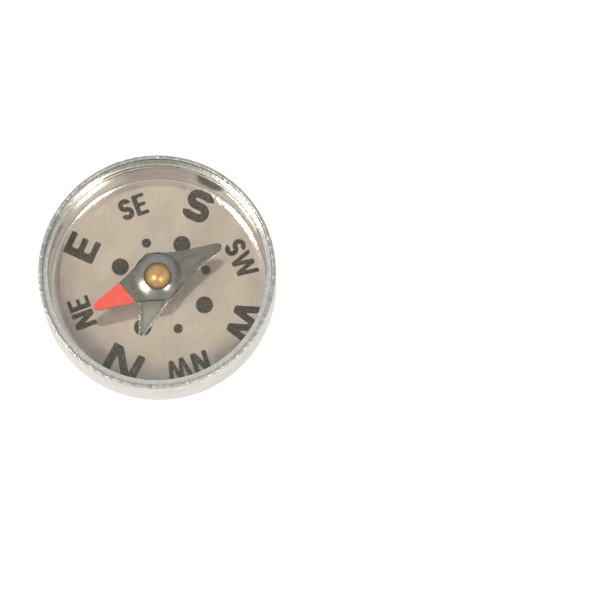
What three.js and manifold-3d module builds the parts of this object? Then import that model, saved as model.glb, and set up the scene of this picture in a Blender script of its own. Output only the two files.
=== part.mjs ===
// A plotting compass: an aluminium cup, a magnetised needle on a pivot lanced from the cup's own floor,
// and a clear crystal held in the cup's mouth by a pressed-in ring.
// Millimetres, +Z up. The origin is the centre of the underside, +Y is the dial's north and +X its east.

import * as THREE from 'three';
import { mergeVertices } from 'three/addons/utils/BufferGeometryUtils.js';
import Module from 'manifold-3d';

// Case
const caseDiameter = 20;
const floorThickness = 0.45;
const bottomEdgeRadius = 0.8;
const floorDishWidth = 0.4;
const floorDishRise = 0.09;
const lipThickness = 0.32;
const ledgeWidth = 0.48;
const lipChamfer = 0.08;
const lipRise = 0.22;

// Pivot: the tongue that is lanced from the case floor and bent upright
const tongueLength = 4.52;
const tongueBendRadius = 0.2;
const tongueTaperAngle = THREE.MathUtils.degToRad(16.4);
const tongueBearing = THREE.MathUtils.degToRad(354);
const pivotPointAngle = THREE.MathUtils.degToRad(24);
const slotEndWidth = 0.16;
const slotEndTrim = 0.55;
const shearGap = 0.06;

// Pivot cap
const capDiameter = 2.3;
const capRise = 0.75;
const capRoof = 0.3;
const capShoulder = 0.22;
const capSeatWall = 0.24;
const rivetThickness = 0.2;
const rivetOverhang = 0.22;
const pivotGap = 0.05;
const capHeadroom = 0.15;

// Needle
const needleLength = 12;
const needleWidth = 4.4;
const needleThickness = 0.3;
const needleTipLength = 0.85;
const needleTipWidth = 1;
const needleCornerRun = 0.35;
const needleSideSlope = 0.56;
const needleSideRun = 1.95;
const needleBearing = THREE.MathUtils.degToRad(38.5);
const needleHoleClearance = 0.03;
const collarWidth = 0.8;
const collarHeight = 0.145;
const collarSkirtWidth = 0.43;
const collarSkirtHeight = 0.045;
const collarClearance = 0.03;

// Crystal and retaining ring
const crystalThickness = 0.8;
const crystalChamfer = 0.1;
const crystalClearance = 0.06;
const ringWidth = 0.45;
const ringHeight = 0.4;
const ringFall = 0.11;
const ringChamfer = 0.05;
const ringClearance = 0.03;

// Faceting
const caseSides = 96;
const capSides = 48;
const arcSteps = 3;

// Heights that stack up from the floor to the lip
const bendCentreHeight = floorThickness + tongueBendRadius;
const bendLength = (Math.PI / 2) * (tongueBendRadius + floorThickness / 2);
const pivotHeight = bendCentreHeight + tongueLength - bendLength;
const ledgeHeight = pivotHeight + pivotGap + capRoof + capHeadroom;
const ringSeatHeight = ledgeHeight + crystalThickness;
const caseHeight = ringSeatHeight + ringHeight + lipRise;

// Radii that the pieces share
const caseRadius = caseDiameter / 2;
const mouthRadius = caseRadius - lipThickness;
const boreRadius = mouthRadius - ledgeWidth;
const capRadius = capDiameter / 2;
const capNeckRadius = capRadius - capShoulder;

// Cap and needle heights above the pivot's point
const capTop = pivotGap + capRoof;
const needleTop = capTop - capRise;
const needleUnderside = needleTop - needleThickness;
const capUnderside = needleUnderside - rivetThickness;

const wasm = await Module();
wasm.setup();

// Welds a geometry's shared corners and drops the triangles that collapse at a pole.
function weld(geometry) {
  const bare = geometry.clone();
  bare.deleteAttribute('normal');
  bare.deleteAttribute('uv');
  const welded = mergeVertices(bare);
  const corners = welded.index.array;
  const kept = [];
  for (let i = 0; i < corners.length; i += 3) {
    const [a, b, c] = corners.slice(i, i + 3);
    if (a !== b && b !== c && c !== a) kept.push(a, b, c);
  }
  welded.setIndex(kept);
  return welded;
}

function toSolid(geometry) {
  const welded = weld(geometry);
  const vertProperties = new Float32Array(welded.attributes.position.array);
  const triVerts = new Uint32Array(welded.index.array);
  return new wasm.Manifold(new wasm.Mesh({ numProp: 3, vertProperties, triVerts }));
}

function toGeometry(solid) {
  const mesh = solid.getMesh();
  const geometry = new THREE.BufferGeometry();
  geometry.setAttribute('position', new THREE.BufferAttribute(new Float32Array(mesh.vertProperties), 3));
  geometry.setIndex(Array.from(mesh.triVerts));
  return geometry;
}

// Turns a profile of radius and height about the Z axis.
function turned(profile, sides) {
  return weld(new THREE.LatheGeometry(profile.getPoints(arcSteps), sides).rotateX(Math.PI / 2));
}

function namedMesh(name, geometry, color, roughness, metalness) {
  geometry.computeVertexNormals();
  const mesh = new THREE.Mesh(geometry, new THREE.MeshStandardMaterial({ color, roughness, metalness }));
  mesh.name = name;
  return mesh;
}

// The drawn cup, with a floor dished up a little to the wall and the ledge for the crystal turned inside its mouth.
function cupGeometry() {
  const profile = new THREE.Path();
  profile.moveTo(0, 0);
  profile.lineTo(caseRadius - bottomEdgeRadius, 0);
  profile.absarc(caseRadius - bottomEdgeRadius, bottomEdgeRadius, bottomEdgeRadius, -Math.PI / 2, 0);
  profile.lineTo(caseRadius, caseHeight - lipChamfer);
  profile.lineTo(caseRadius - lipChamfer, caseHeight);
  profile.lineTo(mouthRadius + lipChamfer, caseHeight);
  profile.lineTo(mouthRadius, caseHeight - lipChamfer);
  profile.lineTo(mouthRadius, ledgeHeight);
  profile.lineTo(boreRadius, ledgeHeight);
  profile.lineTo(boreRadius, floorThickness + floorDishRise);
  profile.lineTo(boreRadius - floorDishWidth, floorThickness);
  profile.lineTo(0, floorThickness);
  return turned(profile, caseSides);
}

// The slot that the tongue leaves in the floor, running north from the start of the bend.
const bendStart = -(tongueBendRadius + floorThickness / 2);
const slotLength = tongueLength + slotEndTrim;
const slotHalfEnd = slotEndWidth / 2;

function slotGeometry() {
  const slotHalfRoot = slotHalfEnd + slotLength * Math.tan(tongueTaperAngle);
  const outline = new THREE.Shape();
  outline.moveTo(-slotHalfRoot, bendStart);
  outline.lineTo(slotHalfRoot, bendStart);
  outline.lineTo(slotHalfEnd, bendStart + slotLength);
  outline.lineTo(-slotHalfEnd, bendStart + slotLength);
  const depth = 3 * floorThickness;
  return new THREE.ExtrudeGeometry(outline, { depth, bevelEnabled: false }).translate(0, 0, -floorThickness);
}

// The tongue's section along the slot: level with the floor, round the bend, then upright on the pivot's axis.
function tongueSection(width) {
  const bendOuterRadius = tongueBendRadius + floorThickness;
  const section = new THREE.Shape();
  section.moveTo(bendStart - tongueBendRadius, 0);
  section.lineTo(bendStart, 0);
  section.absarc(bendStart, bendCentreHeight, bendOuterRadius, -Math.PI / 2, 0);
  section.lineTo(floorThickness / 2, pivotHeight);
  section.lineTo(-floorThickness / 2, pivotHeight);
  section.absarc(bendStart, bendCentreHeight, tongueBendRadius, 0, -Math.PI / 2, true);
  section.lineTo(bendStart - tongueBendRadius, floorThickness);
  const options = { depth: width, bevelEnabled: false, curveSegments: arcSteps * 2 };
  const upright = new THREE.Matrix4().makeBasis(
    new THREE.Vector3(0, 1, 0),
    new THREE.Vector3(0, 0, 1),
    new THREE.Vector3(1, 0, 0),
  );
  return new THREE.ExtrudeGeometry(section, options).translate(0, 0, -width / 2).applyMatrix4(upright);
}

// The tongue's face, seen along the slot: a taper that leaves the shear gap on each side of the slot.
function tongueFace(depth) {
  const top = pivotHeight + slotEndTrim;
  const halfTop = slotHalfEnd - shearGap;
  const halfFoot = halfTop + top * Math.tan(tongueTaperAngle);
  const face = new THREE.Shape();
  face.moveTo(-halfFoot, 0);
  face.lineTo(halfFoot, 0);
  face.lineTo(halfTop, top);
  face.lineTo(-halfTop, top);
  const block = new THREE.ExtrudeGeometry(face, { depth, bevelEnabled: false });
  return block.translate(0, 0, -depth / 2).rotateX(Math.PI / 2);
}

// The cone that the tongue's end is ground to, wide enough at its foot to clear the whole tongue.
function pivotPoint() {
  const profile = new THREE.Path();
  profile.moveTo(0, 0);
  profile.lineTo(pivotHeight * Math.tan(pivotPointAngle), 0);
  profile.lineTo(0, pivotHeight);
  return turned(profile, capSides);
}

function caseGeometry() {
  const reach = 2 * slotLength;
  const tongue = toSolid(tongueSection(reach))
    .intersect(toSolid(tongueFace(reach)))
    .intersect(toSolid(pivotPoint()));
  const turn = (geometry) => toSolid(geometry.rotateZ(-tongueBearing));
  const openFloor = toSolid(cupGeometry()).subtract(turn(slotGeometry()));
  return toGeometry(openFloor.add(turn(toGeometry(tongue))));
}

// A disc with chamfered edges, lying on the ledge.
function crystalGeometry() {
  const radius = mouthRadius - crystalClearance;
  const profile = new THREE.Path();
  profile.moveTo(0, 0);
  profile.lineTo(radius - crystalChamfer, 0);
  profile.lineTo(radius, crystalChamfer);
  profile.lineTo(radius, crystalThickness - crystalChamfer);
  profile.lineTo(radius - crystalChamfer, crystalThickness);
  profile.lineTo(0, crystalThickness);
  return turned(profile, caseSides);
}

// A closed band lying on the crystal, with a top that falls towards the middle and a broken inner edge.
function retainingRingGeometry() {
  const outer = mouthRadius - ringClearance;
  const inner = outer - ringWidth;
  const profile = new THREE.Path();
  profile.moveTo(inner, 0);
  profile.lineTo(outer, 0);
  profile.lineTo(outer, ringHeight);
  profile.lineTo(inner + ringChamfer, ringHeight - ringFall);
  profile.lineTo(inner, ringHeight - ringFall - ringChamfer);
  profile.lineTo(inner, 0);
  return turned(profile, caseSides);
}

// The stamped lozenge, north end along +Y: concave sides between a rounded middle corner and blunt tips.
function needleGeometry() {
  const tip = needleLength / 2;
  const tipStart = tip - needleTipLength;
  const tipHalf = needleTipWidth / 2;
  const half = needleWidth / 2;
  const cornerHalf = half - (needleCornerRun * needleSideSlope) / 2;
  const cornerControl = 2 * half - cornerHalf;
  const sideControl = cornerHalf - (needleSideRun - needleCornerRun) * needleSideSlope;
  const outline = new THREE.Shape();
  outline.moveTo(0, -tip);
  outline.quadraticCurveTo(tipHalf, -tip, tipHalf, -tipStart);
  outline.quadraticCurveTo(sideControl, -needleSideRun, cornerHalf, -needleCornerRun);
  outline.quadraticCurveTo(cornerControl, 0, cornerHalf, needleCornerRun);
  outline.quadraticCurveTo(sideControl, needleSideRun, tipHalf, tipStart);
  outline.quadraticCurveTo(tipHalf, tip, 0, tip);
  outline.quadraticCurveTo(-tipHalf, tip, -tipHalf, tipStart);
  outline.quadraticCurveTo(-sideControl, needleSideRun, -cornerHalf, needleCornerRun);
  outline.quadraticCurveTo(-cornerControl, 0, -cornerHalf, -needleCornerRun);
  outline.quadraticCurveTo(-sideControl, -needleSideRun, -tipHalf, -tipStart);
  outline.quadraticCurveTo(-tipHalf, -tip, 0, -tip);
  const holeRadius = capNeckRadius + needleHoleClearance;
  outline.holes.push(new THREE.Path().absarc(0, 0, holeRadius, 0, 2 * Math.PI, true));
  const options = { depth: needleThickness, bevelEnabled: false, curveSegments: arcSteps * 4 };
  const plate = new THREE.ExtrudeGeometry(outline, options).translate(0, 0, needleUnderside);

  const collarInner = capRadius + collarClearance;
  const collarOuter = collarInner + collarWidth;
  const skirtTop = needleTop + collarSkirtHeight;
  const collar = new THREE.Path();
  collar.moveTo(collarInner, needleTop - needleThickness / 2);
  collar.lineTo(collarOuter, needleTop - needleThickness / 2);
  collar.lineTo(collarOuter, needleTop);
  collar.quadraticCurveTo(collarOuter - collarSkirtWidth, skirtTop, collarInner, needleTop + collarHeight);
  collar.lineTo(collarInner, needleTop - needleThickness / 2);
  return toGeometry(toSolid(plate).add(toSolid(turned(collar, capSides))));
}

// The brass bearing: a dome above the needle, a neck through its hole, a rivet below and a conical seat inside.
function pivotCapGeometry() {
  const seatRadius = capNeckRadius - capSeatWall;
  const rivetRadius = capNeckRadius + rivetOverhang;
  const profile = new THREE.Path();
  profile.moveTo(0, pivotGap);
  profile.lineTo(seatRadius, capUnderside);
  profile.lineTo(rivetRadius, capUnderside);
  profile.lineTo(rivetRadius, needleUnderside);
  profile.lineTo(capNeckRadius, needleUnderside);
  profile.lineTo(capNeckRadius, needleTop);
  profile.lineTo(capRadius, needleTop);
  profile.absellipse(0, needleTop, capRadius, capRise, 0, Math.PI / 2);
  return turned(profile, capSides);
}

const aluminium = 0xd6d2ca;
const housing = new THREE.Group();
housing.add(namedMesh('case', caseGeometry(), aluminium, 0.35, 0.9));

const crystal = namedMesh('crystal', crystalGeometry(), 0xf2f6f4, 0.05, 0);
crystal.material.transparent = true;
crystal.material.opacity = 0.3;
crystal.position.z = ledgeHeight;
housing.add(crystal);

const retainingRing = namedMesh('retaining_ring', retainingRingGeometry(), aluminium, 0.4, 0.9);
retainingRing.position.z = ringSeatHeight;
housing.add(retainingRing);

const needleAssembly = new THREE.Group();
needleAssembly.position.z = pivotHeight;
needleAssembly.rotation.z = -needleBearing;
needleAssembly.add(namedMesh('needle', needleGeometry(), 0x8d8b86, 0.4, 0.9));
needleAssembly.add(namedMesh('pivot_cap', pivotCapGeometry(), 0xb08a3c, 0.3, 1));

const compass = new THREE.Group();
compass.add(housing, needleAssembly);

export default compass;
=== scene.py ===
import math

import bmesh
import bpy
from bmesh.types import BMEdge, BMFace, BMVert
from mathutils import Matrix, Vector, geometry, noise


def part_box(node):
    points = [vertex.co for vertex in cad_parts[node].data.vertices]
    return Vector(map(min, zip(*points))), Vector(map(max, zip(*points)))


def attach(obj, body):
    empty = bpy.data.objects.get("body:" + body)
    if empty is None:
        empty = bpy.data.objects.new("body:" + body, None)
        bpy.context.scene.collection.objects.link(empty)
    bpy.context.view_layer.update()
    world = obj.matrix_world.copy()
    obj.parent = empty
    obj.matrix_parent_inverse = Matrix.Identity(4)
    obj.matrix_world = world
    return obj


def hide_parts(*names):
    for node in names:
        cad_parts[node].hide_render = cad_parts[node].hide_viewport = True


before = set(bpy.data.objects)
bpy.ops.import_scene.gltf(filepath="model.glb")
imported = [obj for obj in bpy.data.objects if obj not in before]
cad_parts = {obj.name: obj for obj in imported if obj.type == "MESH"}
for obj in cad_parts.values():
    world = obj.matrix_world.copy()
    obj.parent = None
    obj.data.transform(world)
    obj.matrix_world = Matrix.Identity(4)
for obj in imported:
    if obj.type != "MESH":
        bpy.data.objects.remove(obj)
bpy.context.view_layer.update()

# The case is a cup pressed from aluminium sheet, with a ledge turned inside its mouth for the crystal and a
# rim left as the trimming tool cut it. A tapered tongue is lanced out of the floor and bent upright, and its
# ground point is the needle's pivot.
mm = 0.001
tolerance = 0.001 * mm
case_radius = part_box("case")[1].x
case_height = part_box("case")[1].z
ledge_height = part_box("crystal")[0].z
floor_top = 0.45 * mm
dish_width = 0.4 * mm
dish_rise = 0.09 * mm
dish_round = 0.3 * mm
corner_round = 0.03 * mm
corner_margin = 0.06 * mm
bottom_edge_radius = 0.8 * mm
lip_thickness = 0.32 * mm
lip_round = 0.09 * mm
lip_band = 0.22 * mm
ledge_width = 0.48 * mm
ledge_round = 0.15 * mm
plate_margin = 0.4 * mm
wall_margin = 0.1 * mm
mouth_radius = case_radius - lip_thickness
bore_radius = mouth_radius - ledge_width
flat_radius = bore_radius - dish_width
plate_radius = flat_radius - plate_margin
case_steps = 480
round_steps = 8


def round_corners(bm, verts, offset, steps):
    """Rounds some corners of an outline."""
    bmesh.ops.bevel(bm, geom=verts, offset=offset, affect="VERTICES", segments=steps, profile=0.5,
                    material=-1)


def turned(corners, steps, closed=False):
    """Spins a profile about the Z axis. Each corner is its radius, its height and how far it is rounded."""
    bm = bmesh.new()
    verts = [bm.verts.new((radius, 0, height)) for radius, height, rounding in corners]
    for ends in zip(verts, verts[1:]):
        bm.edges.new(ends)
    if closed:
        bm.edges.new((verts[-1], verts[0]))
    for vert, (radius, height, rounding) in zip(verts, corners):
        if rounding:
            round_corners(bm, [vert], rounding, round_steps)
    bmesh.ops.spin(bm, geom=bm.verts[:] + bm.edges[:], cent=(0, 0, 0), axis=(0, 0, 1), angle=2 * math.pi,
                   steps=steps, use_merge=True)
    bmesh.ops.remove_doubles(bm, verts=bm.verts, dist=tolerance / 10)
    return bm


def fill_level(bm, height):
    """Fills the space between the open edges that lie at one height."""
    level_edges = [edge for edge in bm.edges if len(edge.link_faces) < 2
                   and all(abs(vert.co.z - height) < tolerance for vert in edge.verts)]
    bmesh.ops.triangle_fill(bm, use_beauty=True, use_dissolve=False, edges=level_edges)


def only(kind, parts):
    """The vertices, edges or faces among the parts that an operator made."""
    return [part for part in parts if isinstance(part, kind)]


def piece(name, bm, *materials, crease=30):
    """Makes an object of a finished bmesh, smooth apart from creases over an angle in degrees."""
    bmesh.ops.recalc_face_normals(bm, faces=bm.faces)
    mesh = bpy.data.meshes.new(name)
    bm.to_mesh(mesh)
    bm.free()
    for material in materials:
        mesh.materials.append(material)
    mesh.shade_smooth()
    mesh.set_sharp_from_angle(angle=math.radians(crease))
    made = bpy.data.objects.new(name, mesh)
    bpy.context.scene.collection.objects.link(made)
    return made


cup = turned([
    (plate_radius, floor_top, 0),
    (flat_radius, floor_top, dish_round),
    (bore_radius - corner_margin, floor_top + dish_rise * (1 - corner_margin / dish_width), 0),
    (bore_radius, floor_top + dish_rise, corner_round),
    (bore_radius, floor_top + dish_rise + wall_margin, 0),
    (bore_radius, ledge_height - ledge_round - wall_margin, 0),
    (bore_radius, ledge_height, ledge_round),
    (mouth_radius, ledge_height, 0),
    (mouth_radius, case_height - lip_band, 0),
    (mouth_radius, case_height, lip_round),
    (case_radius, case_height, lip_round),
    (case_radius, case_height - lip_band, 0),
    (case_radius, bottom_edge_radius + wall_margin, 0),
    (case_radius, 0, bottom_edge_radius),
    (plate_radius, 0, 0),
], case_steps)

# The trimming tool leaves the rim a little uneven, in height and in width.
trim_size = 0.4 * mm
trim_height = 0.05 * mm
trim_width = 0.03 * mm
trim_width_place = Vector((7, 3, 5))
for vert in cup.verts:
    if vert.co.z > case_height - 2 * lip_round:
        lowering = noise.noise(vert.co / trim_size) + 1
        narrowing = noise.noise(vert.co / trim_size + trim_width_place) + 1
        vert.co.z -= trim_height * lowering / 2
        vert.co.xy *= 1 - trim_width * narrowing / 2 / case_radius

# The slot's outline, given across and along the tongue's bearing.
tongue_bearing = math.radians(354)
along = Vector((math.sin(tongue_bearing), math.cos(tongue_bearing), 0))
across = Vector((math.cos(tongue_bearing), -math.sin(tongue_bearing), 0))
tongue_length = 4.52 * mm
tongue_taper = math.tan(math.radians(16.4))
bend_radius = 0.2 * mm
bend_height = floor_top + bend_radius
end_trim = 0.55 * mm
shear_gap = 0.06 * mm
point_depth = 0.35 * mm
pivot_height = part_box("pivot_cap")[1].z - point_depth
slot_start = -bend_radius - floor_top / 2
slot_stop = slot_start + tongue_length + end_trim
slot_half_end = 0.08 * mm
slot_half_root = slot_half_end + (slot_stop - slot_start) * tongue_taper
slot_cuts = 40
tongue_half_foot = slot_half_end - shear_gap + (pivot_height + end_trim) * tongue_taper
slot_corners = [
    (-slot_half_root, slot_start),
    (-tongue_half_foot, slot_start),
    (tongue_half_foot, slot_start),
    (slot_half_root, slot_start),
    (slot_half_end, slot_stop),
    (-slot_half_end, slot_stop),
]
slot_verts = [cup.verts.new(across * x + along * y) for x, y in slot_corners]
slot_edges = [cup.edges.new(ends) for ends in zip(slot_verts, slot_verts[1:] + slot_verts[:1])]
bmesh.ops.subdivide_edges(cup, edges=[slot_edges[3], slot_edges[5]], cuts=slot_cuts)
slot_edges = [edge for edge in cup.edges if edge.is_wire]

# The shear leaves ragged sides and a raised, torn burr along the slot's upper edge.
shear_size = 0.25 * mm
shear_depth = 0.05 * mm
shear_depth_place = Vector((2, 9, 4))
burr_reach = 0.36 * mm
burr_least_reach = 0.03 * mm
burr_rise = 0.12 * mm
burr_share = 0.3
root_margin = 0.1 * mm
root_reach = 0.05 * mm
slot_wall = bmesh.ops.extrude_edge_only(cup, edges=slot_edges)["geom"]
slot_mouth = set(only(BMVert, slot_wall))
mouth_edges = [edge for edge in only(BMEdge, slot_wall) if slot_mouth >= set(edge.verts)]
for vert in slot_mouth:
    vert.co.z = floor_top
burr = bmesh.ops.extrude_edge_only(cup, edges=mouth_edges)["geom"]
burr_faces = set(only(BMFace, burr))
for vert in only(BMVert, burr):
    tear = noise.noise(vert.co / shear_size) + 1
    if vert.co.dot(along) > slot_start + root_margin:
        vert.co += across * math.copysign(burr_reach * tear / 2 + burr_least_reach, vert.co.dot(across))
    else:
        vert.co -= along * root_reach
for vert in slot_mouth:
    if vert.co.dot(along) > slot_start + root_margin:
        tear = noise.noise(vert.co / shear_size + shear_depth_place)
        vert.co += across * shear_depth * tear
        vert.co.z += burr_rise * max(0, tear + burr_share)
for height in (0, floor_top):
    fill_level(cup, height)

# The tongue turns up round the bend, then tapers to a point ground as a cone under the needle's cap.
point_taper = math.tan(math.radians(24))
half_point = 0.02 * mm
half_thickness = floor_top / 2
ground_width = (slot_half_end - shear_gap + end_trim * tongue_taper) / (point_taper - tongue_taper)
ground_flat = half_thickness / point_taper
bend_steps = 8


def tongue_half_width(height):
    """Half the tongue's width at a height, down its tapered sides and then its ground cone."""
    depth = pivot_height - height
    return max(half_point, min(tongue_half_foot - height * tongue_taper, depth * point_taper))


untouched = set(cup.verts)
foot = along * slot_start + Vector((0, 0, half_thickness))
foot_face = min(cup.faces, key=lambda face: (face.calc_center_median() - foot).length)
bend_centre = along * slot_start + Vector((0, 0, bend_height))
bent = bmesh.ops.spin(cup, geom=[foot_face], cent=bend_centre, axis=across, angle=math.pi / 2,
                      steps=bend_steps)
tongue_end = only(BMFace, bent["geom_last"])[0]
for height in (pivot_height - ground_width, pivot_height - ground_flat, pivot_height):
    grown = bmesh.ops.extrude_face_region(cup, geom=[tongue_end])["geom"]
    tongue_end = only(BMFace, grown)[0]
    for vert in tongue_end.verts:
        vert.co.z = height
for vert in set(cup.verts) - untouched:
    vert.co += across * vert.co.dot(across) * (tongue_half_width(vert.co.z) / tongue_half_foot - 1)
for vert in tongue_end.verts:
    vert.co -= along * vert.co.dot(along) * (1 - half_point / half_thickness)


def shader(name, **values):
    """A new material and its Principled shader, with even values set on the shader's own sockets."""
    material = bpy.data.materials.new(name)
    material.use_nodes = True
    principled = material.node_tree.nodes["Principled BSDF"]
    for socket, value in values.items():
        principled.inputs[socket.replace("_", " ")].default_value = value
    return material, principled


def feed(material, target, socket, value):
    """Links an output to a node's input, or sets the input's value."""
    if isinstance(value, bpy.types.NodeSocket):
        material.node_tree.links.new(value, target.inputs[socket])
    else:
        target.inputs[socket].default_value = value


def node(material, kind, operation=None, **inputs):
    """Adds a shader node, with its operation where it has one, and links or sets its inputs."""
    made = material.node_tree.nodes.new("ShaderNode" + kind)
    if operation:
        made.operation = operation
    for socket, value in inputs.items():
        feed(material, made, socket.replace("_", " "), value)
    return made


def worked_out(material, operation, *numbers):
    """The result of a Math node's operation on outputs and plain numbers."""
    made = node(material, "Math", operation)
    for index, number in enumerate(numbers):
        feed(material, made, index, number)
    return made.outputs["Value"]


def grain(material, size, stretch=(1, 1, 1), turn=0, detail=2):
    """Noise from 0 to 1 on Object coordinates, with features of a size in metres that may be stretched."""
    where = node(material, "TexCoord").outputs["Object"]
    scale = [1 / factor for factor in stretch]
    turned_by = node(material, "Mapping", Vector=where, Rotation=(0, 0, turn))
    stretched = node(material, "Mapping", Vector=turned_by.outputs["Vector"], Scale=scale)
    texture = node(material, "TexNoise", Vector=stretched.outputs["Vector"], Scale=1 / size, Detail=detail)
    return texture.outputs["Fac"]


def between(material, factor, low, high, start=0.3, stop=0.7):
    """A number that runs from low to high as the factor goes from start to stop."""
    mapped = node(material, "MapRange", Value=factor, From_Min=start, From_Max=stop, To_Min=low, To_Max=high)
    return mapped.outputs["Result"]


def mixed(material, first, second, share):
    """The sum of one factor and a share of another, with the second centred on 0.5."""
    return worked_out(material, "ADD", first, between(material, second, -share, share, 0, 1))


def tones(material, factor, first, last, start=0.3, stop=0.7):
    """A colour that runs from first to last as the factor goes from start to stop."""
    ramp = node(material, "ValToRGB", Fac=factor)
    for element, position, colour in zip(ramp.color_ramp.elements, (start, stop), (first, last)):
        element.position = position
        element.color = (*colour, 1)
    return ramp.outputs["Color"]


def bumped(material, principled, height, depth):
    """Raises the surface by a height from 0 to 1, over a depth in metres."""
    bump = node(material, "Bump", Height=height, Distance=depth, Strength=1.0)
    feed(material, principled, "Normal", bump.outputs["Normal"])


drawn_dark = (0.57, 0.565, 0.555)
drawn_light = (0.71, 0.705, 0.69)
wall_metal, principled = shader("drawn_aluminium", Metallic=1.0)
smears = grain(wall_metal, size=2.5 * mm)
drawing = grain(wall_metal, size=0.12 * mm, stretch=(1, 1, 12))
streaks = mixed(wall_metal, smears, drawing, share=0.35)
feed(wall_metal, principled, "Base Color", tones(wall_metal, streaks, drawn_dark, drawn_light))
feed(wall_metal, principled, "Roughness", between(wall_metal, smears, low=0.13, high=0.22))
bumped(wall_metal, principled, drawing, depth=0.004 * mm)

rolled_dark = (0.60, 0.52, 0.465)
rolled_light = (0.77, 0.675, 0.60)
rolling_turn = math.radians(-25)
rolling_depth = 0.0015 * mm
floor_metal, principled = shader("rolled_aluminium", Metallic=0.65)
rolling = grain(floor_metal, size=0.05 * mm, stretch=(1, 40, 1), turn=rolling_turn)
clouds = grain(floor_metal, size=3 * mm, detail=4)
dashes = grain(floor_metal, size=0.1 * mm, stretch=(1, 3, 1), turn=rolling_turn)
flecks = mixed(floor_metal, clouds, dashes, share=0.3)
feed(floor_metal, principled, "Base Color", tones(floor_metal, flecks, rolled_dark, rolled_light))
feed(floor_metal, principled, "Roughness", between(floor_metal, flecks, low=0.07, high=0.12))

# Pressing leaves the floor very slightly hollow, most of all near the wall.
hollow_rise = 0.14 * mm
hollow_power = 6
floor_place = node(floor_metal, "TexCoord").outputs["Object"]
reach = node(floor_metal, "VectorMath", "LENGTH", Vector=floor_place).outputs["Value"]
reach_share = between(floor_metal, reach, 0, 1, start=0, stop=bore_radius)
hollow = worked_out(floor_metal, "POWER", reach_share, hollow_power)
swell = mixed(floor_metal, rolling, hollow, share=hollow_rise / rolling_depth / 2)

# The metal wrinkles where it is stretched into the dished edge.
wrinkle_size = 0.3 * mm
wrinkle_depth = 0.012 * mm
wrinkle_start = flat_radius - 0.3 * mm
wrinkle_share = wrinkle_depth / rolling_depth
folds = grain(floor_metal, wrinkle_size, detail=3)
edge_share = between(floor_metal, reach, 0, wrinkle_share, start=wrinkle_start, stop=flat_radius)
surface = worked_out(floor_metal, "MULTIPLY_ADD", folds, edge_share, swell)
bumped(floor_metal, principled, surface, rolling_depth)


def chatter_marks(material, length, detail):
    """Noise from 0 to 1 that changes over a length in metres round the rim and runs straight across it."""
    where = node(material, "TexCoord").outputs["Object"]
    level = node(material, "VectorMath", "MULTIPLY", Vector=where)
    level.inputs[1].default_value = (1, 1, 0)
    bearing = node(material, "VectorMath", "NORMALIZE", Vector=level.outputs["Vector"]).outputs["Vector"]
    round_axis = node(material, "VectorMath", "SCALE", Vector=bearing, Scale=case_radius / length)
    place = node(material, "VectorMath", "ADD", Vector=round_axis.outputs["Vector"])
    place.inputs[1].default_value = (1, 0, 1)
    return node(material, "TexNoise", Vector=place.outputs["Vector"], Scale=1.0, Detail=detail).outputs["Fac"]


torn_dark = (0.28, 0.28, 0.27)
torn_light = (0.60, 0.595, 0.57)
torn_metal, principled = shader("torn_aluminium", Metallic=1.0)
shreds = grain(torn_metal, size=0.16 * mm, detail=5)
feed(torn_metal, principled, "Base Color", tones(torn_metal, shreds, torn_dark, torn_light))
feed(torn_metal, principled, "Roughness", between(torn_metal, shreds, low=0.35, high=0.2))
bumped(torn_metal, principled, shreds, depth=0.09 * mm)

trimmed_dark = (0.36, 0.36, 0.35)
trimmed_light = (0.66, 0.655, 0.63)
rim_metal, principled = shader("trimmed_aluminium", Metallic=1.0)
chatter = chatter_marks(rim_metal, length=0.5 * mm, detail=4)
feed(rim_metal, principled, "Base Color", tones(rim_metal, chatter, trimmed_dark, trimmed_light))
feed(rim_metal, principled, "Roughness", between(rim_metal, chatter, low=0.34, high=0.2))
bumped(rim_metal, principled, chatter, depth=0.04 * mm)

case_metals = [wall_metal, floor_metal, rim_metal, torn_metal]
for face in cup.faces:
    middle = face.calc_center_median()
    dished = middle.xy.length > plate_radius and floor_top / 2 < middle.z < floor_top + dish_rise
    metal = wall_metal
    if dished or abs(middle.z - floor_top) < tolerance:
        metal = floor_metal
    if middle.z > case_height - lip_band:
        metal = rim_metal
    if abs(middle.z - ledge_height) < tolerance or face in burr_faces:
        metal = torn_metal
    face.material_index = case_metals.index(metal)
case = piece("case_cup", cup, *case_metals)
level_normal = 0.9999
for polygon in case.data.polygons:
    if polygon.center.xy.length < plate_radius and abs(polygon.normal.z) > level_normal:
        polygon.use_smooth = False
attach(case, "housing")
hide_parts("case")

# The dial is printed in warm black ink before the cup is drawn: eight letters or pairs of letters and eight
# dots, a little off the case's centre. The outer ends of the letters climb the floor's dished edge, and the
# lancing cuts the north dot.
print_centre = Vector((-0.315, -0.025, 0)) * mm
ink_thickness = 0.02 * mm
letter_round = 0.05
letter_round_steps = 3
bowl_steps = 16

ink_dark = (0.043, 0.037, 0.029)
ink_thin = (0.23, 0.21, 0.17)
ink, principled = shader("dial_ink", Metallic=0.0, Roughness=0.55)
specks = grain(ink, size=0.14 * mm, detail=5)
feed(ink, principled, "Base Color", tones(ink, specks, ink_dark, ink_thin, start=0.52, stop=0.78))


def block_letter(bm, left, corners):
    """Adds a letter of straight strokes from its outline, in cap heights, and rounds its corners."""
    outline = bm.faces.new([bm.verts.new((left + x, y, 0)) for x, y in corners])
    round_corners(bm, outline.verts[:], letter_round, letter_round_steps)


def letter_n(bm, left, width, stroke):
    """Adds an N, whose slanting stroke is the broadest."""
    slant = 1.2 * stroke
    joint = (width - stroke - slant) / (width - slant)
    half = [(0, 0), (0, 1), (slant, 1), (width - stroke, 1 - joint), (width - stroke, 1)]
    block_letter(bm, left, half + [(width - x, 1 - y) for x, y in half])


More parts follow.
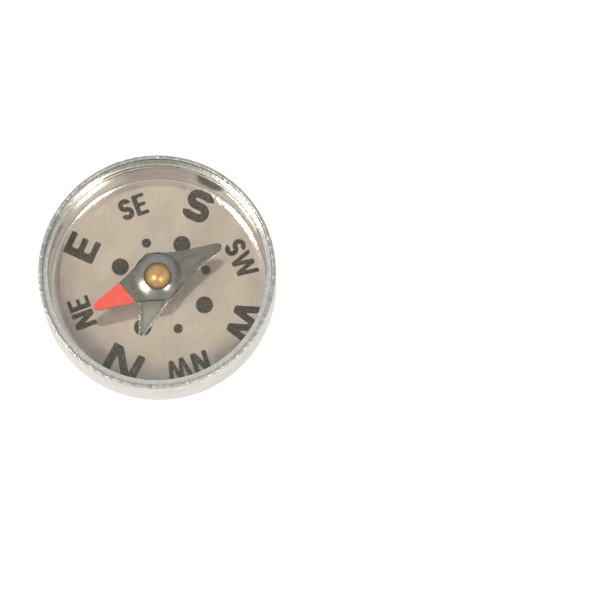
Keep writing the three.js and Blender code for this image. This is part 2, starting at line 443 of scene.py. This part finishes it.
def letter_e(bm, left, width, stroke):
    """Adds an E, whose arms are thinner than its stem and whose middle arm is the shortest."""
    arm = 0.75 * stroke
    middle_reach = 0.92 * width
    low_side = 0.5 - arm / 2
    half = [(0, 0), (width, 0), (width, arm), (stroke, arm), (stroke, low_side), (middle_reach, low_side)]
    block_letter(bm, left, half + [(x, 1 - y) for x, y in reversed(half)])


def letter_w(bm, left, width, stroke):
    """Adds a W, whose strokes are thinner than other letters' so that its counters stay open."""
    stroke *= 0.88
    foot = (width - stroke) / 4
    counter = 2 * stroke / (width - stroke)
    crotch = (width / 2 - foot - stroke) / (width / 2 - foot - stroke / 2)
    lower = [(0, 1), (foot, 0), (foot + stroke, 0)]
    upper = [(width / 2 - stroke / 2, 1), (stroke + foot * (1 - counter), counter), (stroke, 1)]
    lower_right = [(width - x, y) for x, y in reversed(lower)]
    upper_right = [(width - x, y) for x, y in reversed(upper)]
    block_letter(bm, left, lower + [(width / 2, crotch)] + lower_right + upper_right + upper)


def letter_s(bm, left, width, stroke):
    """Adds an S, drawn by a pen that is spun round each bend and pushed along each straight run."""
    bowl = (1 - stroke) / 4
    run = width - 2 * bowl - stroke
    terminal = 15
    before = set(bm.verts)
    ends = [bm.verts.new((bowl + side * stroke / 2, 0, 0)) for side in (-1, 1)]
    pen = bm.edges.new(ends)
    bmesh.ops.rotate(bm, verts=ends, cent=(0, 0, 0), matrix=Matrix.Rotation(math.radians(terminal), 3, "Z"))
    bmesh.ops.translate(bm, verts=ends, vec=(run / 2, 0.5 + bowl, 0))
    bends = [(1, 1, 90 - terminal), (-1, 1, 180), (1, -1, -180), (-1, -1, terminal - 90)]
    for side, level, turn in bends:
        if (side, level) != (1, 1):
            drawn = bmesh.ops.extrude_edge_only(bm, edges=[pen])["geom"]
            ahead = only(BMVert, drawn)
            bmesh.ops.translate(bm, verts=ahead, vec=(side * run, 0, 0))
            pen = bm.edges.get(ahead)
        curved = bmesh.ops.spin(bm, geom=pen.verts[:] + [pen], cent=(side * run / 2, 0.5 + level * bowl, 0),
                                axis=(0, 0, 1), angle=math.radians(turn), steps=bowl_steps)
        pen = only(BMEdge, curved["geom_last"])[0]
    round_corners(bm, ends + pen.verts[:], letter_round, letter_round_steps)
    letter = [vert for vert in bm.verts if vert not in before]
    bmesh.ops.translate(bm, verts=letter, vec=(left + width / 2, 0, 0))


def on_floor(flat):
    """Where a point of the flat sheet, raised by its Z, lies on the cup's floor, dished edge and wall."""
    reach = flat.xy.length
    sloped = min(max(reach - flat_radius, 0), math.hypot(dish_width, dish_rise))
    climb = reach - min(reach, flat_radius) - sloped
    slope = math.atan2(dish_rise, dish_width)
    turn = math.pi / 2 if climb else slope if sloped else 0
    radius = min(reach, flat_radius) + sloped * math.cos(slope) - flat.z * math.sin(turn)
    height = floor_top + sloped * math.sin(slope) + climb + flat.z * math.cos(turn)
    return Vector((flat.x * radius / reach, flat.y * radius / reach, height))


def everything(bm):
    """All the parts of a bmesh, for an operator that cuts through them."""
    return bm.verts[:] + bm.edges[:] + bm.faces[:]


def cut_across(bm, normal, start, stop, step):
    """Cuts the sheet along parallel lines, so that it can follow a curved floor."""
    for index in range(math.ceil((stop - start) / step)):
        place = normal * (start + step * index)
        bmesh.ops.bisect_plane(bm, geom=everything(bm), plane_co=place, plane_no=normal)


def printed(name, bm, bearing):
    """Turns a flat print from north to its bearing, lays it on the floor and gives the ink its thickness."""
    about_centre = Matrix.Rotation(-math.radians(bearing), 3, "Z")
    bmesh.ops.rotate(bm, verts=bm.verts, cent=(0, 0, 0), matrix=about_centre)
    bmesh.ops.translate(bm, verts=bm.verts, vec=print_centre)
    grown = bmesh.ops.extrude_face_region(bm, geom=bm.faces[:])["geom"]
    bmesh.ops.translate(bm, verts=only(BMVert, grown), vec=(0, 0, ink_thickness))
    for vert in bm.verts:
        vert.co = on_floor(vert.co)
    made = piece(name, bm, ink, crease=60)
    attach(made, "housing")


# Each word stands at a radius and, because the stencil is laid by hand, a little to one side and askew.
word_spacing = 45
words = [
    ("N", 7.53 * mm, 0.18 * mm, -3.6),
    ("NE", 7.2 * mm, 0.18 * mm, 0),
    ("E", 7.61 * mm, 0.155 * mm, 0),
    ("SE", 7.3 * mm, 0, 0),
    ("S", 7.58 * mm, -0.135 * mm, 0),
    ("SW", 7.11 * mm, 0.126 * mm, 6.5),
    ("W", 7.81 * mm, -0.05 * mm, 4),
    ("NW", 7.3 * mm, 0.37 * mm, -2),
]

# A word of one letter is larger and bolder than a word of two. Widths, strokes and gaps are in cap heights.
cap_heights = {1: 2.72 * mm, 2: 1.85 * mm}
letter_strokes = {1: 0.26, 2: 0.225}
letter_widths = {
    1: {"N": 1.1, "E": 0.73, "S": 0.85, "W": 1.43},
    2: {"N": 0.77, "E": 0.58, "S": 0.62, "W": 1.17},
}
letter_shapes = {"N": letter_n, "E": letter_e, "S": letter_s, "W": letter_w}
usual_gap = 0.09
closer_gaps = {"SW": 0.02}
climb_margin = 0.7 * mm
climb_step = 0.1 * mm
word_half_width = 2 * mm
word_step = 0.25 * mm
for turn, (text, middle_radius, sideways, askew) in enumerate(words):
    widths = letter_widths[len(text)]
    letter_gap = closer_gaps.get(text, usual_gap)
    lettering = bmesh.new()
    left = 0
    for letter in text:
        letter_shapes[letter](lettering, left, widths[letter], letter_strokes[len(text)])
        left += widths[letter] + letter_gap
    bmesh.ops.translate(lettering, verts=lettering.verts, vec=((letter_gap - left) / 2, -0.5, 0))
    bmesh.ops.scale(lettering, vec=(cap_heights[len(text)],) * 3, verts=lettering.verts)
    bmesh.ops.rotate(lettering, verts=lettering.verts, cent=(0, 0, 0),
                     matrix=Matrix.Rotation(math.radians(askew), 3, "Z"))
    bmesh.ops.translate(lettering, verts=lettering.verts, vec=(sideways, middle_radius, 0))
    cut_across(lettering, Vector((0, 1, 0)), flat_radius - climb_margin, bore_radius, climb_step)
    cut_across(lettering, Vector((1, 0, 0)), -word_half_width, word_half_width, word_step)
    printed("print_" + text, lettering, word_spacing * turn)

dot_radii = {1: 0.735 * mm, 2: 0.4 * mm}
dot_ring_radius = 3.95 * mm
dot_steps = 48
slot_margin = 0.1 * mm
slot_side = Vector((slot_stop - slot_start, slot_half_root - slot_half_end)).normalized()


def in_slot(point):
    """Whether a point of the floor lies over the slot or its sheared edge."""
    reach = slot_stop + slot_margin - point.dot(along)
    half = slot_half_end + slot_margin + reach * slot_side.y / slot_side.x
    return reach > 0 and abs(point.dot(across)) < half


for turn, (text, *place) in enumerate(words):
    dot = bmesh.new()
    bmesh.ops.create_circle(dot, cap_ends=True, radius=dot_radii[len(text)], segments=dot_steps,
                            matrix=Matrix.Translation((0, dot_ring_radius, 0)))
    if text == "N":
        slot_tip = along * (slot_stop + slot_margin)
        for side in (-1, 1):
            edge = across * side * (slot_half_end + slot_margin) + slot_tip
            bmesh.ops.bisect_plane(dot, geom=everything(dot), plane_co=edge - print_centre,
                                   plane_no=across * side * slot_side.x + along * slot_side.y)
        bmesh.ops.bisect_plane(dot, geom=everything(dot), plane_co=slot_tip - print_centre, plane_no=along)
        lanced = [face for face in dot.faces if in_slot(face.calc_center_median() + print_centre)]
        bmesh.ops.delete(dot, geom=lanced, context="FACES")
    printed("dot_" + text, dot, word_spacing * turn)

# The needle is a lozenge stamped from thin magnetised steel, with a collar raised round its hole. The upper
# side and the edges of its north end are painted orange-red, up to a slightly slanted line.
needle_bearing = math.radians(38.5)
needle_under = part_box("needle")[0].z
needle_thickness = 0.3 * mm
needle_top = needle_under + needle_thickness
needle_half_length = 6 * mm
needle_half_width = 2.2 * mm
needle_edge = 0.06 * mm
collar_inner = 1.18 * mm
collar_outer = 1.98 * mm
collar_margin = 0.1 * mm
collar_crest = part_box("needle")[1].z
collar_steps = 128
crest_lean = 0.02 * mm
crest_drop = 0.03 * mm
skirt_width = 0.43 * mm
skirt_height = 0.045 * mm
hole_radius = 0.96 * mm
needle_turn = Matrix.Rotation(-needle_bearing, 3, "Z")


def bow(start, control, stop, steps):
    """Points along a quadratic curve."""
    first_handle = start.lerp(control, 2 / 3)
    last_handle = stop.lerp(control, 2 / 3)
    return geometry.interpolate_bezier(start, first_handle, last_handle, stop, steps)


def lozenge(bm, height):
    """Adds the needle's outline at a height, as edges, with its north end along +Y."""
    tip = Vector((0, needle_half_length, 0))
    tip_control = Vector((0.3 * mm, needle_half_length, 0))
    tip_side = Vector((0.5, 5.15, 0)) * mm
    side_control = Vector((1.206, 1.95, 0)) * mm
    corner = Vector((2.102, 0.35, 0)) * mm
    corner_control = Vector((needle_half_width, 0.175 * mm, 0))
    waist = Vector((needle_half_width, 0, 0))
    quarter = bow(tip, tip_control, tip_side, steps=9)
    quarter += bow(tip_side, side_control, corner, steps=17)[1:]
    quarter += bow(corner, corner_control, waist, steps=5)[1:]
    verts = [bm.verts.new((point.x, point.y, height)) for point in quarter]
    for ends in zip(verts, verts[1:]):
        bm.edges.new(ends)
    for axis in ("X", "Y"):
        wires = [edge for edge in bm.edges if edge.is_wire]
        ends = list(dict.fromkeys(vert for edge in wires for vert in edge.verts))
        bmesh.ops.mirror(bm, geom=ends + wires, matrix=Matrix.Identity(4), merge_dist=tolerance, axis=axis)
    return [edge for edge in bm.edges if edge.is_wire]


skirt = Vector((collar_outer - skirt_width, needle_top + skirt_height))
collar_arc = bow(Vector((collar_outer, needle_top)), skirt, Vector((collar_inner, collar_crest)), steps=9)
collar_profile = [(collar_outer + collar_margin, needle_top, 0)]
collar_profile += [(point.x, point.y, 0) for point in collar_arc]
collar_profile += [
    (collar_inner - crest_lean, collar_crest - crest_drop, 0),
    (collar_inner, needle_top, 0),
    (hole_radius, needle_top, 0),
    (hole_radius, needle_under, 0),
    (hole_radius + collar_margin, needle_under, 0),
]
plate = turned(collar_profile, collar_steps)
outline = lozenge(plate, needle_top - needle_edge)
edge_scale = (1 - needle_edge / needle_half_width, 1 - needle_edge / needle_half_length, 1)
for drop, scale in ((needle_thickness - needle_edge, (1, 1, 1)), (-needle_edge, edge_scale)):
    plate_side = bmesh.ops.extrude_edge_only(plate, edges=outline)["geom"]
    side_verts = only(BMVert, plate_side)
    bmesh.ops.translate(plate, verts=side_verts, vec=(0, 0, -drop))
    bmesh.ops.scale(plate, vec=scale, verts=side_verts)
for height in (needle_top, needle_under):
    fill_level(plate, height)
bmesh.ops.rotate(plate, verts=plate.verts, cent=(0, 0, 0), matrix=needle_turn)

steel_dark = (0.21, 0.206, 0.195)
steel_light = (0.33, 0.325, 0.31)
raw_colour = (0.80, 0.84, 0.88, 1)
steel, principled = shader("needle_steel", Metallic=1.0)
brushing = grain(steel, size=0.06 * mm, stretch=(1, 30, 1), turn=needle_bearing)
tarnish = grain(steel, size=1.2 * mm, detail=4)
marks = mixed(steel, tarnish, brushing, share=0.5)
feed(steel, principled, "Base Color", tones(steel, marks, steel_dark, steel_light))
feed(steel, principled, "Roughness", between(steel, tarnish, low=0.14, high=0.22))
bumped(steel, principled, brushing, depth=0.002 * mm)
raw_steel, principled = shader("needle_steel_raw", Base_Color=raw_colour, Metallic=1.0, Roughness=0.6)
for face in plate.faces:
    face.material_index = all(vert.co.z < needle_under + tolerance for vert in face.verts)
needle = piece("needle_plate", plate, steel, raw_steel)
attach(needle, "needle_assembly")
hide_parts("needle")

paint_start = 2.93 * mm
paint_slant = math.radians(13)
paint_film = 0.015 * mm
bare_edge = 0.03 * mm
paint_deep = (0.84, 0.076, 0.049)
paint_bright = (0.91, 0.104, 0.07)
paint, principled = shader("needle_paint", Metallic=0.0, Roughness=0.5)
mottle = grain(paint, size=0.5 * mm, detail=4)
feed(paint, principled, "Base Color", tones(paint, mottle, paint_deep, paint_bright))
bumped(paint, principled, grain(paint, size=0.15 * mm), depth=0.004 * mm)
coat = bmesh.new()
bmesh.ops.contextual_create(coat, geom=lozenge(coat, needle_under + bare_edge))
bmesh.ops.bisect_plane(coat, geom=everything(coat), plane_co=(0, paint_start, 0),
                       plane_no=(-math.sin(paint_slant), math.cos(paint_slant), 0), clear_inner=True)
grown = bmesh.ops.extrude_face_region(coat, geom=coat.faces[:])["geom"]
bmesh.ops.translate(coat, verts=only(BMVert, grown), vec=(0, 0, needle_thickness - bare_edge))
bmesh.ops.recalc_face_normals(coat, faces=coat.faces)
for vert in coat.verts:
    vert.co += vert.normal * paint_film
bmesh.ops.rotate(coat, verts=coat.verts, cent=(0, 0, 0), matrix=needle_turn)
red_end = piece("needle_red_end", coat, paint)
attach(red_end, "needle_assembly")

# The pivot cap is turned from brass and riveted through the needle's hole. Its polished dome shows above the
# collar, and the conical seat underneath sits on the pivot's point.
cap_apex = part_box("pivot_cap")[1].z
cap_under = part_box("pivot_cap")[0].z
cap_radius = 1.15 * mm
cap_rise = cap_apex - needle_top
cap_steps = 96
dome_steps = 12
neck_radius = 0.93 * mm
seat_radius = 0.69 * mm
seat_round = 0.03 * mm
pivot_gap = 0.05 * mm
rivet_radius = 1.15 * mm
rivet_round = 0.05 * mm
dome_arc = [math.radians(90 / dome_steps * step) for step in range(dome_steps + 1)]
cap_profile = [(cap_radius * math.sin(arc), needle_top + cap_rise * math.cos(arc), 0) for arc in dome_arc]
cap_profile += [
    (neck_radius, needle_top, 0),
    (neck_radius, needle_under, 0),
    (rivet_radius, needle_under, 0),
    (rivet_radius, cap_under, rivet_round),
    (seat_radius, cap_under, seat_round),
    (0, pivot_height + pivot_gap, 0),
]
brass_dark = (0.50, 0.30, 0.11)
brass_light = (0.63, 0.40, 0.16)
brass, principled = shader("cap_brass", Metallic=0.75)
patina = grain(brass, size=0.4 * mm, detail=4)
feed(brass, principled, "Base Color", tones(brass, patina, brass_dark, brass_light))
feed(brass, principled, "Roughness", between(brass, patina, low=0.3, high=0.38))
cap = piece("bearing_cap", turned(cap_profile, cap_steps), brass)
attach(cap, "needle_assembly")
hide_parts("pivot_cap")

# The crystal is a flat disc of clear glass with ground edges, which lies on the ledge. Light goes straight
# through it, and only its outer side is glossy.
crystal_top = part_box("crystal")[1].z
crystal_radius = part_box("crystal")[1].x
crystal_chamfer = 0.1 * mm
crystal_flat = crystal_radius - 2 * crystal_chamfer
crystal_steps = 192
glass_colour = (0.95, 0.97, 0.96, 1)
glass_tint = (0.98, 0.99, 0.985, 1)
glass_index = 1.49
glass, principled = shader("crystal_glass", Base_Color=glass_colour, Metallic=1.0, Roughness=0.03)
clear = node(glass, "BsdfTransparent", Color=glass_tint)
outside = between(glass, node(glass, "NewGeometry").outputs["Backfacing"], 1, 0, start=0, stop=1)
gloss = worked_out(glass, "MULTIPLY", node(glass, "Fresnel", IOR=glass_index).outputs["Fac"], outside)
window = node(glass, "MixShader", Fac=gloss)
feed(glass, window, 1, clear.outputs["BSDF"])
feed(glass, window, 2, principled.outputs["BSDF"])
feed(glass, glass.node_tree.nodes["Material Output"], "Surface", window.outputs["Shader"])
bumped(glass, principled, grain(glass, size=2 * mm), depth=0.0005 * mm)
disc = turned([
    (0, ledge_height, 0),
    (crystal_flat, ledge_height, 0),
    (crystal_radius, ledge_height, crystal_chamfer),
    (crystal_radius, crystal_top, crystal_chamfer),
    (crystal_flat, crystal_top, 0),
    (0, crystal_top, 0),
], crystal_steps)
crystal = piece("crystal_window", disc, glass)
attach(crystal, "housing")
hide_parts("crystal")

# The retaining ring is a thin, bright aluminium band pressed into the mouth on top of the crystal, which it
# holds down on the ledge. Its upper side slopes down towards the crystal.
ring_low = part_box("retaining_ring")[0].z
ring_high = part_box("retaining_ring")[1].z
ring_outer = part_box("retaining_ring")[1].x
ring_width = 0.45 * mm
ring_fall = 0.11 * mm
ring_edge = 0.03 * mm
ring_round = 0.08 * mm
ring_dark = (0.56, 0.57, 0.53)
ring_light = (0.72, 0.73, 0.69)
ring_metal, principled = shader("ring_aluminium", Metallic=1.0)
turning = grain(ring_metal, size=0.25 * mm, detail=4)
feed(ring_metal, principled, "Base Color", tones(ring_metal, turning, ring_dark, ring_light))
feed(ring_metal, principled, "Roughness", between(ring_metal, turning, low=0.07, high=0.12))
bumped(ring_metal, principled, turning, depth=0.006 * mm)
band = turned([
    (ring_outer - ring_width, ring_low, 0),
    (ring_outer, ring_low, 0),
    (ring_outer, ring_high, ring_edge),
    (ring_outer - ring_width, ring_high - ring_fall, ring_round),
], case_steps, closed=True)
ring = piece("mouth_ring", band, ring_metal)
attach(ring, "housing")
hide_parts("retaining_ring")

# The compass lies on a plain white sheet. The sheet glows for the camera and for reflections, though not
# through the crystal, and is a dull grey to other light, so it shows white and keeps the compass's shadow.
sheet_size = 2.0
sheet_colour = (0.44, 0.42, 0.38, 1)
sheet_white = (1, 1, 1, 1)
sheet_glow = 0.7
mirrored_glow = 0.75
sheet = bmesh.new()
bmesh.ops.create_grid(sheet, x_segments=1, y_segments=1, size=sheet_size / 2)
paper, principled = shader("white_paper", Base_Color=sheet_colour, Roughness=0.9, Specular_IOR_Level=0.0,
                           Emission_Color=sheet_white)
ray = node(paper, "LightPath").outputs
outside_crystal = between(paper, ray["Transparent Depth"], 1, 0, start=0, stop=1)
seen = worked_out(paper, "MULTIPLY_ADD", ray["Is Glossy Ray"], mirrored_glow, ray["Is Camera Ray"])
looked_at = worked_out(paper, "MULTIPLY", seen, outside_crystal)
glow_strength = between(paper, looked_at, 0, sheet_glow, start=0, stop=1)
feed(paper, principled, "Emission Strength", glow_strength)
floor = piece("paper_sheet", sheet, paper)

# The camera looks steeply down through a long lens, with the rim's centre at its pixel in the frame.
view_azimuth = math.radians(204.7)
view_elevation = math.radians(79.3)
camera_distance = 450 * mm
rim_pixel = Vector((157.0, 271.2))
frame_pixels = 600
pixels_per_metre = 11.9 / mm
sensor_width = 36
camera_right = Vector((math.cos(view_azimuth), math.sin(view_azimuth), 0))
camera_back = Vector((math.sin(view_azimuth) * math.cos(view_elevation),
                      -math.cos(view_azimuth) * math.cos(view_elevation), math.sin(view_elevation)))
camera_up = camera_back.cross(camera_right)
aside = (rim_pixel - Vector((frame_pixels / 2, frame_pixels / 2))) / pixels_per_metre
lens = bpy.data.cameras.new("camera")
lens.sensor_width = sensor_width
lens.lens = sensor_width * pixels_per_metre * camera_distance / frame_pixels
lens.clip_start = 0.01
lens.clip_end = 10
camera = bpy.data.objects.new("camera", lens)
rim_centre = Vector((0, 0, case_height))
camera.location = rim_centre + camera_back * camera_distance - camera_right * aside.x + camera_up * aside.y
camera.rotation_euler = Matrix((camera_right, camera_up, camera_back)).transposed().to_euler()
bpy.context.scene.collection.objects.link(camera)
bpy.context.scene.camera = camera

# Two small warm lamps hang overhead, one on each side of the camera. Each is given by how far it leans to the
# right and towards the camera, in degrees, and by its size and power.
lamp_distance = 420 * mm
lamp_colour = (1.0, 0.93, 0.82)
lamps = [(-21, 5, 75 * mm, 0.45), (18, 14, 60 * mm, 0.27)]
near_side = Vector((camera_back.x, camera_back.y, 0)).normalized()


def overhead_at(right_angle, near_angle):
    """The direction that leans from overhead by angles in degrees, to the right and towards the camera."""
    rightwards = camera_right * math.tan(math.radians(right_angle))
    nearwards = near_side * math.tan(math.radians(near_angle))
    return (Vector((0, 0, 1)) + rightwards + nearwards).normalized()


for right_angle, near_angle, lamp_size, lamp_power in lamps:
    beam = bpy.data.lights.new("warm_lamp", "AREA")
    beam.shape = "DISK"
    beam.size = lamp_size
    beam.energy = lamp_power
    beam.color = lamp_colour
    lamp = bpy.data.objects.new("warm_lamp", beam)
    lamp.location = overhead_at(right_angle, near_angle) * lamp_distance
    lamp.rotation_euler = lamp.location.to_track_quat("Z", "Y").to_euler()
    bpy.context.scene.collection.objects.link(lamp)

# The room is pale low down, and its ceiling is dark apart from a broad warm glow that the dial mirrors. Two
# windows brighten the inner wall, and the camera and the space below it are darker than the room.
sky = bpy.data.worlds.new("studio")
sky.use_nodes = True
bpy.context.scene.world = sky
direction = node(sky, "TexCoord").outputs["Generated"]
height = node(sky, "SeparateXYZ", Vector=direction).outputs["Z"]


def within(middle, outer, inner):
    """A share of the sky, from 0 at an outer angle about a middle to 1 at an inner one, in degrees."""
    aim = node(sky, "VectorMath", "DOT_PRODUCT", Vector=direction)
    aim.inputs[1].default_value = middle
    outer_aim = math.cos(math.radians(outer))
    inner_aim = math.cos(math.radians(inner))
    return between(sky, aim.outputs["Value"], 0, 1, start=outer_aim, stop=inner_aim)


def laid_over(below, colour, share):
    """Lays a colour over part of the sky."""
    return node(sky, "MixRGB", Fac=share, Color1=below, Color2=(*colour, 1)).outputs["Color"]


ceiling_dark = (0.20, 0.225, 0.245, 1)
ceiling_glow = (0.85, 0.765, 0.66)
wall_low = (1.0, 1.0, 1.0)
wall_high = (0.80, 0.80, 0.79)
window_light = (1.3, 1.28, 1.24)
below_camera = (0.55, 0.52, 0.49)
lens_dark = (0.45, 0.42, 0.39)
window_places = [(-32, 22), (27, 29)]
glow_middle = overhead_at(-12, 24)
camera_underside = overhead_at(0, 34)
ceiling = laid_over(ceiling_dark, ceiling_glow, within(glow_middle, outer=38.3, inner=37.0))
around = tones(sky, height, wall_low, wall_high, start=0.2, stop=0.75)
ceiling_share = between(sky, height, 0, 1, start=0.89, stop=0.945)
studio = node(sky, "MixRGB", Fac=ceiling_share, Color1=around, Color2=ceiling).outputs["Color"]
for right_angle, near_angle in window_places:
    studio = laid_over(studio, window_light, within(overhead_at(right_angle, near_angle), outer=15, inner=11))
studio = laid_over(studio, below_camera, within(camera_underside, outer=14, inner=10))
studio = laid_over(studio, lens_dark, within(camera_back, outer=13, inner=8))
feed(sky, sky.node_tree.nodes["Background"], "Color", studio)
bpy.context.scene.view_settings.view_transform = "Standard"
